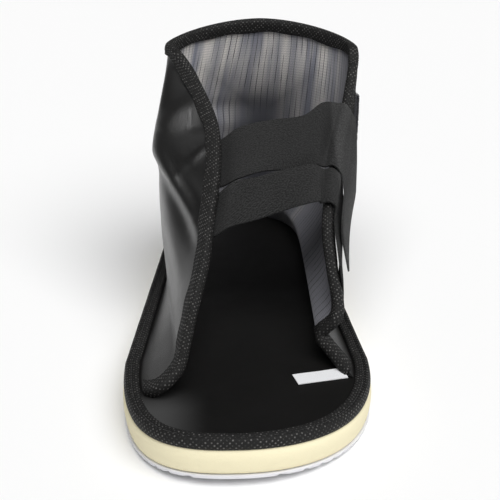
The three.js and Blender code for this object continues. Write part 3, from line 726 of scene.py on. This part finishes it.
def outsole():
    """Tread bars across the sole, with leaning walls and softened edges."""
    half = LUG_GROOVE / 2
    lean = 0.4
    soft = 0.3
    round_edge = 0.25
    cuts = []
    first = TOE_Y + LUG_PITCH / 2
    lugs = int((SOLE_LENGTH - LUG_PITCH) / LUG_PITCH)
    for i in range(lugs):
        centre = first + i * LUG_PITCH + half
        cuts += [(centre - half - soft, 0.0), (centre - half, soft / 4), (centre - half + lean, LUG_DEPTH),
                 (centre + half - lean, LUG_DEPTH), (centre + half, soft / 4), (centre + half + soft, 0.0)]
    toe_end = [(TOE_Y + (first - TOE_Y) * share, 0.0) for share in (0, 0.06, 0.16, 0.32, 0.55)]
    last = first + lugs * LUG_PITCH
    heel_end = [(mix(last, HEEL_Y, share), 0.0) for share in (0.5, 0.7, 0.85, 0.95, 1)]
    rings = []
    for y, cut in toe_end + cuts + heel_end:
        centre, width = outline_at(np.array(y), 0.0)
        low = spring_at(y) + max(cut, bevel_at(y))
        high = spring_at(y) + OUTSOLE_BASE + LUG_DEPTH
        corner = min(round_edge, width * 0.2)
        side = [(width - corner, low), (width, low + corner), (width, high - corner), (width - corner, high)]
        rings.append([(centre - w, y, z) for w, z in side] + [(centre + w, y, z) for w, z in side[::-1]])
    return dress(ring_shell("outsole_tread", rings, TREAD), "tread", "outsole")


def footbed():
    inset = TAPE_THICKNESS + 2 * CLEARANCE
    bevel = 0.4
    profile = [(inset + bevel, FOOTBED_Z), (inset, FOOTBED_Z + bevel),
               (inset, FOOTBED_TOP - bevel), (inset + bevel, FOOTBED_TOP)]
    rings = layer_rings(profile, sole_stations(*LAYER_STEPS))
    return dress(ring_shell("footbed_cover", rings, FOOTBED), "footbed_cover", "footbed")


# Outer face of the tape round the footbed: inset as a share of its width, height as a share of its
# height, and roll as a share of the roll's rise
SEAM_TAPE_PROFILE = [
    (0.06, 0.0, 0.0), (0.015, 0.2, 0.0), (0.0, 0.42, 0.0), (0.02, 0.66, 0.0), (0.07, 0.86, 0.1),
    (0.14, 0.97, 0.65), (0.24, 1.0, 1.0), (0.34, 1.0, 0.75), (0.42, 1.0, 0.1), (0.49, 1.0, -0.65),
    (0.56, 1.0, -0.3), (0.66, 1.0, 0.1), (0.78, 1.0, 0.15), (0.9, 1.0, -0.05), (0.98, 1.0, -0.35),
    (1.0, 1.0, -0.9)]


def seam_tape_loop(stations, profile):
    rings = []
    for side, chosen in ((-1, stations), (1, stations[1:-1][::-1])):
        for station in chosen:
            ring = []
            for inset, z in profile:
                y = station_y(station, inset)
                centre, width = outline_at(y, inset)
                ring.append((centre + side * width, y, z + spring_at(station_y(station, 0.0))))
            rings.append(ring)
    return np.array(rings, float)


def footbed_tape():
    top = FOOTBED_TOP + CLEARANCE + TAPE_THICKNESS
    inner = TAPE_THICKNESS + CLEARANCE
    outer = [(SEAM_TAPE_WIDTH * inset, mix(FOOTBED_Z, top, height) + SEAM_ROLL_RISE * roll)
             for inset, height, roll in SEAM_TAPE_PROFILE]
    profile = outer + [(SEAM_TAPE_WIDTH, FOOTBED_TOP + CLEARANCE), (inner, FOOTBED_TOP + CLEARANCE),
                       (inner, FOOTBED_Z)]
    stations = sole_stations(*SEAM_TAPE_STEPS)
    rings = seam_tape_loop(stations, profile)
    # Small puckers where the stitches pull the tape in
    run = run_lengths(rings.mean(axis=1))
    pucker = (0.10 * np.cos(run * 2 * np.pi / TAPE_DOT_PITCH) + 0.10 * np.sin(run / 7.3)
              + 0.08 * np.sin(run / 3.1))
    weights = np.array([0.0] * 3 + [0.4, 0.8, 1.0, 1.0, 0.8, 0.2, 0.0, 0.4, 1.0, 1.0, 1.0, 0.6] + [0.0] * 4)
    rings[:, :, 2] += pucker[:, None] * weights[None, :]
    shell = ring_shell("footbed_tape", rings, TAPE, loop=True, sharp=70)
    piece = dress(shell, "binding_tape", "footbed_binding")
    line = seam_tape_loop(stations, [(SEAM_TAPE_WIDTH * 0.49, top - SEAM_ROLL_RISE * 0.45)])
    dress(stitches("footbed_tape_stitches", np.concatenate([line[:, 0], line[:1, 0]])), "binding_tape")
    return piece


STITCH_PITCH = 2.9
STITCH_LENGTH = 2.1
STITCH_RISE = 0.22
STITCH_RADIUS = 0.16


def stitches(name, path):
    """A row of short threads along a path, bowed upwards."""
    run = run_lengths(path)
    starts = (np.arange(int(run[-1] / STITCH_PITCH)) + 0.2) * STITCH_PITCH
    shares = np.linspace(0, 1, 5)
    places = starts[:, None] + shares[None, :] * STITCH_LENGTH
    rows = np.stack([np.interp(places, run, path[:, axis]) for axis in range(3)], axis=-1)
    rows[..., 2] += np.sin(np.pi * shares) * STITCH_RISE
    return tubes(name, rows, STITCH_RADIUS, THREAD)


# Upper

# Creases of the upper: a height and a width in millimetres, then places (along, level).
# Heights below zero are troughs.
CREASES = [
    # The fold that bulges out under the collar, and the hollow beneath it
    {"height": 1.7, "width": 8.0, "path": [(0.22, 0.675), (0.20, 0.70), (0.16, 0.74), (0.12, 0.77),
                                           (0.08, 0.79), (0.03, 0.795)]},
    {"height": -0.6, "width": 3.0, "path": [(0.10, 0.715), (0.06, 0.731), (0.02, 0.737)]},
    # The long ridge that falls from the bulge to the front edge, with a hollow on each side
    {"height": 2.4, "width": 4.2, "path": [(0.235, 0.595), (0.20, 0.565), (0.17, 0.53), (0.14, 0.49),
                                           (0.10, 0.455), (0.07, 0.43), (0.045, 0.405), (0.03, 0.385)]},
    {"height": -1.8, "width": 5.5, "path": [(0.24, 0.52), (0.20, 0.485), (0.16, 0.445), (0.12, 0.41),
                                            (0.08, 0.375), (0.05, 0.35)]},
    {"height": -3.2, "width": 10.0, "path": [(0.13, 0.545), (0.10, 0.52), (0.06, 0.485), (0.03, 0.455)]},
    # A faint fold across the facet between the two ridges
    {"height": 0.8, "width": 2.4, "path": [(0.11, 0.585), (0.08, 0.605), (0.05, 0.645), (0.025, 0.67)]},
    # The silhouette: a slight bulge where both folds meet, and the step in just below it
    {"height": 0.6, "width": 7.0, "path": [(0.30, 0.575), (0.25, 0.575)]},
    {"height": -1.2, "width": 6.0, "path": [(0.30, 0.50), (0.25, 0.50)]},
    # Two slack waves low on the wall, and slack folds round the back and the outer side
    {"height": 0.7, "width": 5.0, "path": [(0.20, 0.33), (0.14, 0.28), (0.09, 0.22)]},
    {"height": -0.8, "width": 6.0, "path": [(0.26, 0.26), (0.18, 0.20), (0.11, 0.16)]},
    {"height": 1.2, "width": 5.0, "path": [(0.36, 0.66), (0.42, 0.60), (0.47, 0.57), (0.53, 0.58)]},
    {"height": -1.3, "width": 5.5, "path": [(0.34, 0.55), (0.41, 0.51), (0.48, 0.48), (0.55, 0.50)]},
    {"height": 1.0, "width": 5.0, "path": [(0.40, 0.40), (0.47, 0.36), (0.54, 0.38), (0.60, 0.43)]},
    {"height": -1.0, "width": 5.0, "path": [(0.60, 0.30), (0.67, 0.34), (0.74, 0.33)]},
]
# How far from each edge of the upper the creases reach their full height
CREASE_FADE = 8.0


def crease_lift(points, fade):
    """How far each point of the wall moves out along its normal."""
    lift = np.zeros(points.shape[:-1])
    for crease in CREASES:
        rows = np.array(crease["path"], float)
        order = np.linspace(0, len(rows) - 1, 70)
        along = np.interp(order, np.arange(len(rows)), rows[:, 0])
        level = np.interp(order, np.arange(len(rows)), rows[:, 1])
        path = wall_point(along, level)
        taper = np.sin(np.pi * np.linspace(0.06, 0.94, len(order))) ** 0.6
        flat = points.reshape(-1, 3)
        best = np.full(len(flat), 1e9)
        strength = np.zeros(len(flat))
        for place, amount in zip(path, taper):
            distance = np.linalg.norm(flat - place, axis=1)
            closer = distance < best
            best = np.where(closer, distance, best)
            strength = np.where(closer, amount, strength)
        bell = np.exp(-(best / crease["width"]) ** 2) * strength * crease["height"]
        lift += bell.reshape(lift.shape)
    return lift * fade


COLUMNS = 240
ROWS_BELOW = 8
ROWS_ABOVE = 96


def upper():
    along = np.linspace(0, 1, COLUMNS + 1)
    level = np.concatenate([np.linspace(0, KNEE_LEVEL, ROWS_BELOW + 1)[:-1],
                            np.linspace(KNEE_LEVEL, 1, ROWS_ABOVE + 1)])
    grid_along, grid_level = np.meshgrid(along, level)
    outer = wall_point(grid_along, grid_level)
    normal = wall_normal(grid_along, grid_level)
    across = np.linalg.norm(np.diff(outer, axis=1), axis=-1)
    from_left = np.concatenate([np.zeros((len(level), 1)), np.cumsum(across, axis=1)], axis=1)
    from_right = from_left[:, -1:] - from_left
    heights = rim_height(grid_along) * grid_level
    to_rim = rim_height(grid_along) - heights
    nearest = np.minimum(np.minimum(from_left, from_right), np.minimum(heights, to_rim))
    fade = smooth_step(0, CREASE_FADE, nearest)
    lift = crease_lift(outer, fade)[..., None] * normal
    inner = outer - normal * UPPER_WALL
    inner[..., 2] = np.maximum(inner[..., 2], UPPER_BASE)
    inner[0, :, 2] = UPPER_BASE
    outer = outer + lift
    inner = inner + lift
    rows, columns = outer.shape[:2]
    count = rows * columns
    middle = from_left[rows // 2]
    faces = []
    uvs = []
    kinds = []
    for i in range(rows - 1):
        for k in range(columns - 1):
            a = i * columns + k
            b = a + 1
            c = b + columns
            d = a + columns
            corner = [(middle[k], heights[i, k]), (middle[k + 1], heights[i, k + 1]),
                      (middle[k + 1], heights[i + 1, k + 1]), (middle[k], heights[i + 1, k])]
            faces.append((d, c, b, a))
            uvs.append(corner[::-1])
            kinds.append(0)
            faces.append((a + count, b + count, c + count, d + count))
            uvs.append(corner)
            kinds.append(1)
    # Cut edges: the seam, the rim and both front edges
    ring = (list(range(columns)) + [i * columns + columns - 1 for i in range(1, rows)]
            + [(rows - 1) * columns + k for k in range(columns - 2, -1, -1)]
            + [i * columns for i in range(rows - 2, 0, -1)])
    for start, end in zip(ring, ring[1:] + ring[:1]):
        faces.append((start, end, end + count, start + count))
        uvs.append([(0.0, 0.0)] * 4)
        kinds.append(0)
    points = np.concatenate([outer.reshape(-1, 3), inner.reshape(-1, 3)])
    piece = mesh_piece("upper_wall", points, faces, uvs, [VINYL, LINING], kinds, sharp=50)
    return dress(piece, "upper_cloth", "upper")


# Tape round the upper's free edge

def front_edge(side, level):
    """The way out of the upper square to its front edge, and the row's length square to it."""
    step = PROBE * 2
    edge = unit(wall_point(side, min(1, level + PROBE)) - wall_point(side, max(0, level - PROBE)))
    row = wall_point(side, level) - wall_point(abs(side - step), level)
    away = row - edge * np.dot(row, edge)
    slant = np.linalg.norm(away) / np.linalg.norm(row)
    return unit(away), np.linalg.norm(row) / step * slant


def edge_inset(along, level):
    """The place one tape width in from a rim place, square in from both edges at a corner."""
    side = 0.0 if along < 0.5 else 1.0
    step = PROBE * 2
    level_length = np.linalg.norm(wall_point(along, 1.0) - wall_point(along, 1.0 - step)) / step
    in_along = min(SIDE_SHARE * TAPE_REACH, TAPE_WIDTH / front_edge(side, level)[1])
    in_level = TAPE_WIDTH / level_length
    return min(1 - in_along, max(in_along, along)), min(level, 1 - in_level)


def rim_away(along, level):
    up = unit(wall_point(along, 1.0) - wall_point(along, 1.0 - PROBE))
    if level < 1:
        return front_edge(along, level)[0]
    if 0 < along < 1:
        return up
    return unit(up + front_edge(along, 1.0)[0])


# Levels of the tape's feet and of its last rows under the collar, and its width as a share of the solid's
TAPE_FOOT_LEVEL = 0.012
TAPE_TOP_LEVEL = 0.985
TAPE_NARROW = 0.88


def edge_tape():
    gap = CLEARANCE + TAPE_EASE
    full = gap + TAPE_THICKNESS
    levels = np.linspace(TAPE_FOOT_LEVEL, TAPE_TOP_LEVEL, 84)
    path = [(0.0, level) for level in levels]
    path += [(along, 1.0) for along in np.linspace(0, 1, 201)]
    path += [(1.0, level) for level in levels[::-1]]
    rings = []
    run = 0.0
    last = None
    for along, level in path:
        place = wall_point(along, level)
        run += 0.0 if last is None else float(np.linalg.norm(place - last))
        last = place
        in_along, in_level = edge_inset(along, level)
        away = rim_away(along, level)
        normal = wall_normal(along, level)
        pucker = 0.09 * math.cos(run * 2 * math.pi / TAPE_DOT_PITCH) + 0.10 * math.sin(run / 5.7)
        wander = TAPE_NARROW + 0.05 * math.sin(run / 4.1) + 0.05 * math.sin(run / 9.7 + 1.0)

        def leg(share, offset):
            share = share * wander
            return beside(mix(along, in_along, share), mix(level, in_level, share), offset)

        # Offsets of the outer leg from its thin cut edge to the full roll
        leg_rows = [(1.0, gap + 0.25), (0.98, full - 0.25), (0.88, full + 0.02), (0.72, full - 0.05),
                    (0.55, full + 0.1 + pucker), (0.36, full + 0.2 + pucker), (0.18, full + 0.12 + pucker)]
        turn_rows = [math.pi * t for t in (0.0, 0.14, 0.28, 0.42, 0.58, 0.72, 0.86, 1.0)]
        half = UPPER_WALL / 2 + full
        outer = [leg(share, offset) for share, offset in leg_rows]
        outer += [place + normal * (half * math.cos(turn) - UPPER_WALL / 2) + away * (full * math.sin(turn))
                  for turn in turn_rows]
        outer += [leg(share, -UPPER_WALL - offset) for share, offset in leg_rows[::-1]]
        inner = [leg(1.0, gap), leg(0.5, gap), place + normal * gap,
                 place + normal * gap + away * gap, place - normal * (UPPER_WALL + gap) + away * gap,
                 place - normal * (UPPER_WALL + gap),
                 leg(0.5, -UPPER_WALL - gap), leg(1.0, -UPPER_WALL - gap)]
        spare = len(outer) - len(inner)
        inner = inner[:4] + [inner[3]] * (spare // 2) + [inner[4]] * (spare - spare // 2) + inner[4:]
        rings.append(outer + inner[::-1])
    piece = ring_shell("edge_tape", rings, TAPE, sharp=70)
    return dress(piece, "binding_tape", "edge_binding")


# Straps: rows from the left inner end to the right outer end, each with its low and high edge.
# Rows on a face of the upper give (along, level), edge rows a turn and a level, and free rows, between
# the edges and where the lower strap is sewn down, a place in shares of ball width, sole length and
# upper height.
UPPER_STRAP = [
    ("inner", (0.15, 0.52), (0.17, 0.69)),
    ("inner", (0.075, 0.54), (0.09, 0.70)),
    ("inner", (0.004, 0.56), (0.004, 0.71)),
    ("free", (-0.022, 0.028, 0.536), (-0.009, 0.131, 0.685)),
    ("free", (0.086, 0.028, 0.566), (0.132, 0.131, 0.715)),
    ("free", (0.215, 0.031, 0.571), (0.281, 0.131, 0.734)),
    ("free", (0.316, 0.052, 0.577), (0.372, 0.162, 0.770)),
    ("edge", (-0.5, 0.628), (-0.5, 0.825)),
    ("edge", (0.4, 0.626), (0.4, 0.817)),
    ("edge", (1.3, 0.620), (1.3, 0.800)),
    ("outer", (0.993, 0.566), (0.935, 0.755)),
    ("outer", (0.994, 0.425), (0.875, 0.625)),
    ("outer", (0.965, 0.290), (0.818, 0.475)),
]
LOWER_STRAP = [
    ("inner", (0.14, 0.33), (0.14, 0.44)),
    ("inner", (0.07, 0.37), (0.075, 0.485)),
    ("inner", (0.004, 0.41), (0.004, 0.540)),
    ("free", (-0.070, -0.055, 0.394), (-0.044, 0.017, 0.530)),
    ("free", (0.055, -0.055, 0.429), (0.061, 0.017, 0.550)),
    ("free", (0.225, -0.048, 0.476), (0.191, 0.017, 0.583)),
    ("free", (0.325, -0.034, 0.484), (0.316, 0.034, 0.588)),
    ("edge", (-0.5, 0.520), (-0.5, 0.620)),
    ("edge", (0.4, 0.520), (0.4, 0.618)),
    ("edge", (1.3, 0.515), (1.3, 0.612)),
    ("outer", (1.0, 0.470), (0.950, 0.575)),
    ("outer", (1.0, 0.290), (0.900, 0.360)),
    ("free", (0.426, -0.078, 0.035), (0.433, 0.020, 0.035)),
]
OVER_TAPE = CLEARANCE * 2 + TAPE_EASE * 2 + TAPE_THICKNESS
OVER_STRAP = OVER_TAPE + STRAP_THICKNESS + CLEARANCE + FLAP_LIFT


def strap_place(row, share, outer_gap):
    kind, low, high = row
    values = [mix(a, b, share) for a, b in zip(low, high)]
    half = STRAP_THICKNESS / 2
    if kind == "free":
        x, y, z = values
        return np.array([x * BALL_WIDTH, y * SOLE_LENGTH, UPPER_BASE + z * UPPER_HEIGHT])
    if kind == "edge":
        turn, level = values
        away = front_edge(1.0, level)[0]
        reach = UPPER_WALL / 2 + OVER_TAPE + EDGE_EASE + half
        return (beside(1.0, level, -UPPER_WALL / 2) + away * math.cos(turn) * reach
                + wall_normal(1.0, level) * math.sin(turn) * reach)
    along, level = values
    if kind == "inner":
        return beside(along, level, -UPPER_WALL - OVER_TAPE - half)
    return beside(along, level, outer_gap + half)


def smooth_run(points, count):
    """Centripetal curve through points, sampled evenly between each pair of them."""
    points = np.asarray(points, float)
    ends = np.vstack([2 * points[0] - points[1], points, 2 * points[-1] - points[-2]])
    result = []
    for t in np.linspace(0, len(points) - 1, count):
        k = min(int(t), len(points) - 2)
        weight = t - k
        p0, p1, p2, p3 = ends[k:k + 4]
        d0, d1, d2 = (max(np.linalg.norm(b - a) ** 0.5, 1e-4) for a, b in ((p0, p1), (p1, p2), (p2, p3)))
        t1 = ((p1 - p0) / d0 - (p2 - p0) / (d0 + d1) + (p2 - p1) / d1) * d1
        t2 = ((p2 - p1) / d1 - (p3 - p1) / (d1 + d2) + (p3 - p2) / d2) * d1
        c2 = -3 * p1 + 3 * p2 - 2 * t1 - t2
        c3 = 2 * p1 - 2 * p2 + t1 + t2
        result.append(p1 + t1 * weight + c2 * weight ** 2 + c3 * weight ** 3)
    return np.array(result)


STRAP_LANES = 11
STRAP_RUN = 150


def strap(name, rows, outer_gap, node):
    shares = np.linspace(0, 1, STRAP_LANES)
    lanes = np.array([smooth_run([strap_place(row, share, outer_gap) for row in rows], STRAP_RUN)
                      for share in shares])
    run = unit(np.gradient(lanes, axis=1))
    across = unit(np.gradient(lanes, axis=0))
    face = unit(np.cross(across, run))
    # The woven edges are a little thinner than the middle
    thin = 1 - 0.45 * np.abs(2 * shares - 1) ** 10
    offset = face * (STRAP_THICKNESS / 2 * thin)[:, None, None]
    over = (lanes + offset).transpose(1, 0, 2)
    under = (lanes - offset).transpose(1, 0, 2)[:, ::-1]
    piece = ring_shell(name, np.concatenate([over, under], axis=1), WEBBING, sharp=60)
    return dress(piece, "elastic_webbing", node)


# Loop pad: a fuzzy patch on the outside of the right wall
PAD_ALONG = (0.67, 0.775)
PAD_LEVEL = (0.50, 0.81)
PAD_LOOPS = 2600


def loop_pad():
    steps = 24
    base = CLEARANCE + TAPE_EASE
    rings = []
    for i in range(steps + 1):
        along = mix(*PAD_ALONG, i / steps)
        levels = np.linspace(*PAD_LEVEL, steps + 1)
        outer = beside(along, levels, base + PAD_THICKNESS * 0.55)
        inner = beside(along, levels[::-1], base)
        rings.append(np.concatenate([outer, inner]))
    piece = dress(ring_shell("loop_pad_base", rings, PILE), "loop_pile", "loop_pad")
    chance = np.random.default_rng(11)
    along = chance.uniform(*PAD_ALONG, PAD_LOOPS)
    level = chance.uniform(*PAD_LEVEL, PAD_LOOPS)
    foot = beside(along, level, np.full(PAD_LOOPS, base + PAD_THICKNESS * 0.5))
    normal = wall_normal(along, level)
    side = unit(np.cross(normal, chance.normal(size=(PAD_LOOPS, 3))))
    reach = chance.uniform(0.7, 1.6, PAD_LOOPS)
    paths = []
    for t in np.linspace(0, 1, 6):
        swing = side * (0.55 * math.cos(math.pi * t))
        lift = normal * (math.sin(math.pi * t) * reach)[:, None]
        paths.append(foot + swing + lift)
    dress(tubes("loop_pad_loops", np.array(paths).transpose(1, 0, 2), 0.07, PILE, sides=3), "loop_pile")
    return piece


def label():
    """Bare tape on the footbed, with a very slight wave."""
    steps = 24
    rings = []
    for i in range(steps + 1):
        x = mix(-LABEL_LENGTH / 2, LABEL_LENGTH / 2 + LABEL_TUCK, i / steps)
        wave = 0.05 * math.sin(i / steps * 9.0)
        half = LABEL_WIDTH / 2
        low = UPPER_BASE
        high = UPPER_BASE + LABEL_THICKNESS * 0.7 + wave
        rings.append([(x, -half, low), (x, -half, high), (x, 0, high + 0.05),
                      (x, half, high), (x, half, low), (x, 0, low)])
    rings = np.array(rings, float)
    turned = rings.copy()
    turned[..., 0] = rings[..., 0] * math.cos(LABEL_TURN) - rings[..., 1] * math.sin(LABEL_TURN)
    turned[..., 1] = rings[..., 0] * math.sin(LABEL_TURN) + rings[..., 1] * math.cos(LABEL_TURN)
    turned[..., 0] += LABEL_PLACE[0] * BALL_WIDTH
    turned[..., 1] += LABEL_PLACE[1] * SOLE_LENGTH
    return dress(ring_shell("label_tape", turned, LABEL), "label_tape", "label")


# Stage, lights and camera
CAMERA_PLACE = (-0.01980, -0.54688, 0.26812)
CAMERA_WAY = (0.03074, 0.92667, -0.37461)
CAMERA_LENS = 82.4
FLOOR_SIZE = 12.0
# The backdrop's brightness at the horizon and above, and the height of a unit direction where it is dimmest
SKY_HORIZON = 0.5
SKY_ABOVE = 0.05
SKY_DIM_HEIGHT = 0.4
SUN_STRENGTH = 3.45
SUN_DEGREES = 70
SUN_WAY = (-0.22, 0.45, -1.0)


def floor():
    half = FLOOR_SIZE / 2
    mesh = bpy.data.meshes.new("floor")
    corners = [(-half, -half, 0), (half, -half, 0), (half, half, 0), (-half, half, 0)]
    mesh.from_pydata(corners, [], [(0, 1, 2, 3)])
    mesh.materials.append(Shader("floor", Base_Color=(0.93, 0.93, 0.93, 1), Roughness=0.9,
                                 Specular_IOR_Level=0.1).material)
    piece = place_object("floor", mesh)


def studio():
    world = bpy.data.worlds.new("studio")
    world.use_nodes = True
    nodes = world.node_tree.nodes
    links = world.node_tree.links
    sky = nodes["Background"]
    # A pale backdrop near the horizon that darkens upwards
    way = nodes.new("ShaderNodeTexCoord")
    split = nodes.new("ShaderNodeSeparateXYZ")
    links.new(way.outputs["Generated"], split.inputs[0])
    height = nodes.new("ShaderNodeMapRange")
    for name, value in (("From Max", SKY_DIM_HEIGHT), ("To Min", SKY_HORIZON), ("To Max", SKY_ABOVE)):
        height.inputs[name].default_value = value
    links.new(split.outputs[2], height.inputs["Value"])
    sky.inputs["Color"].default_value = (1.0, 1.0, 1.0, 1.0)
    links.new(height.outputs["Result"], sky.inputs["Strength"])
    bpy.context.scene.world = world
    sun = bpy.data.lights.new("ceiling", "SUN")
    sun.energy = SUN_STRENGTH
    sun.angle = math.radians(SUN_DEGREES)
    lamp = place_object("ceiling", sun)
    lamp.rotation_euler = Vector(SUN_WAY).to_track_quat("-Z", "Y").to_euler()
    bpy.context.scene.view_settings.view_transform = "Standard"


def camera():
    data = bpy.data.cameras.new("photo_view")
    data.lens = CAMERA_LENS
    data.sensor_width = 36.0
    data.clip_start = 0.01
    data.clip_end = 50.0
    view = place_object("photo_view", data)
    view.location = CAMERA_PLACE
    view.rotation_euler = Vector(CAMERA_WAY).to_track_quat("-Z", "Y").to_euler()
    bpy.context.scene.camera = view


camera()
studio()
floor()
outsole()
midsole()
footbed()
footbed_tape()
upper()
edge_tape()
strap("strap_lower_webbing", LOWER_STRAP, OVER_TAPE, "strap_lower")
strap("strap_upper_webbing", UPPER_STRAP, OVER_STRAP, "strap_upper")
loop_pad()
label()
